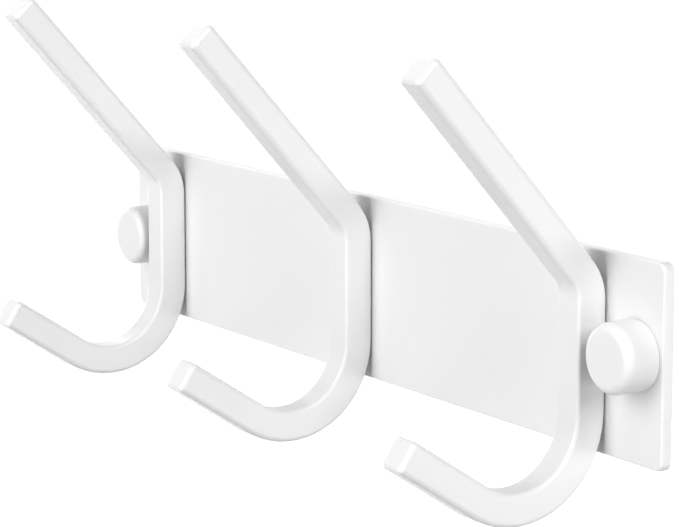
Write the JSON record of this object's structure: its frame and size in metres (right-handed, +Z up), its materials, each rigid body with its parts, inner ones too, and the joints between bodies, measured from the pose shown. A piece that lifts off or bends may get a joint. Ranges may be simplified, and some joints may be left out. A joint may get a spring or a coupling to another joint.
{
  "type": "wall coat rack",
  "caption": "Wall coat rack: flat back plate, bent square-bar hooks that each have a long raised arm and a J below, and round covers that clip over the wall screws.",
  "frame": {"origin": "centre of the back plate's rear face, on the wall", "axes": "+X to the right of someone who faces the rack, -Y out of the wall towards that person, +Z up"},
  "size_m": [0.3, 0.0762, 0.1358],
  "materials": {
    "powder_coat": "satin white powder coat on steel",
    "cover_plastic": "satin white moulded plastic",
    "base_plastic": "natural white moulded plastic",
    "zinc_steel": "zinc plated steel"
  },
  "bodies": {
    "rack": {"back_plate": "powder_coat", "hook_left": "powder_coat", "hook_middle": "powder_coat", "hook_right": "powder_coat", "hook_screw_left_upper": "zinc_steel", "hook_screw_left_lower": "zinc_steel", "hook_screw_middle_upper": "zinc_steel", "hook_screw_middle_lower": "zinc_steel", "hook_screw_right_upper": "zinc_steel", "hook_screw_right_lower": "zinc_steel", "cap_base_left": "base_plastic", "cap_base_right": "base_plastic"},
    "cap_cover_left": {"cap_cover_left": "cover_plastic"},
    "cap_cover_right": {"cap_cover_right": "cover_plastic"}
  },
  "joints": [
    {"name": "cap_off_left", "type": "slide", "parent": "rack", "child": "cap_cover_left", "axis": [0, -1, 0], "range_m": [0, 0.02]},
    {"name": "cap_off_right", "type": "slide", "parent": "rack", "child": "cap_cover_right", "axis": [0, -1, 0], "range_m": [0, 0.02]}
  ]
}
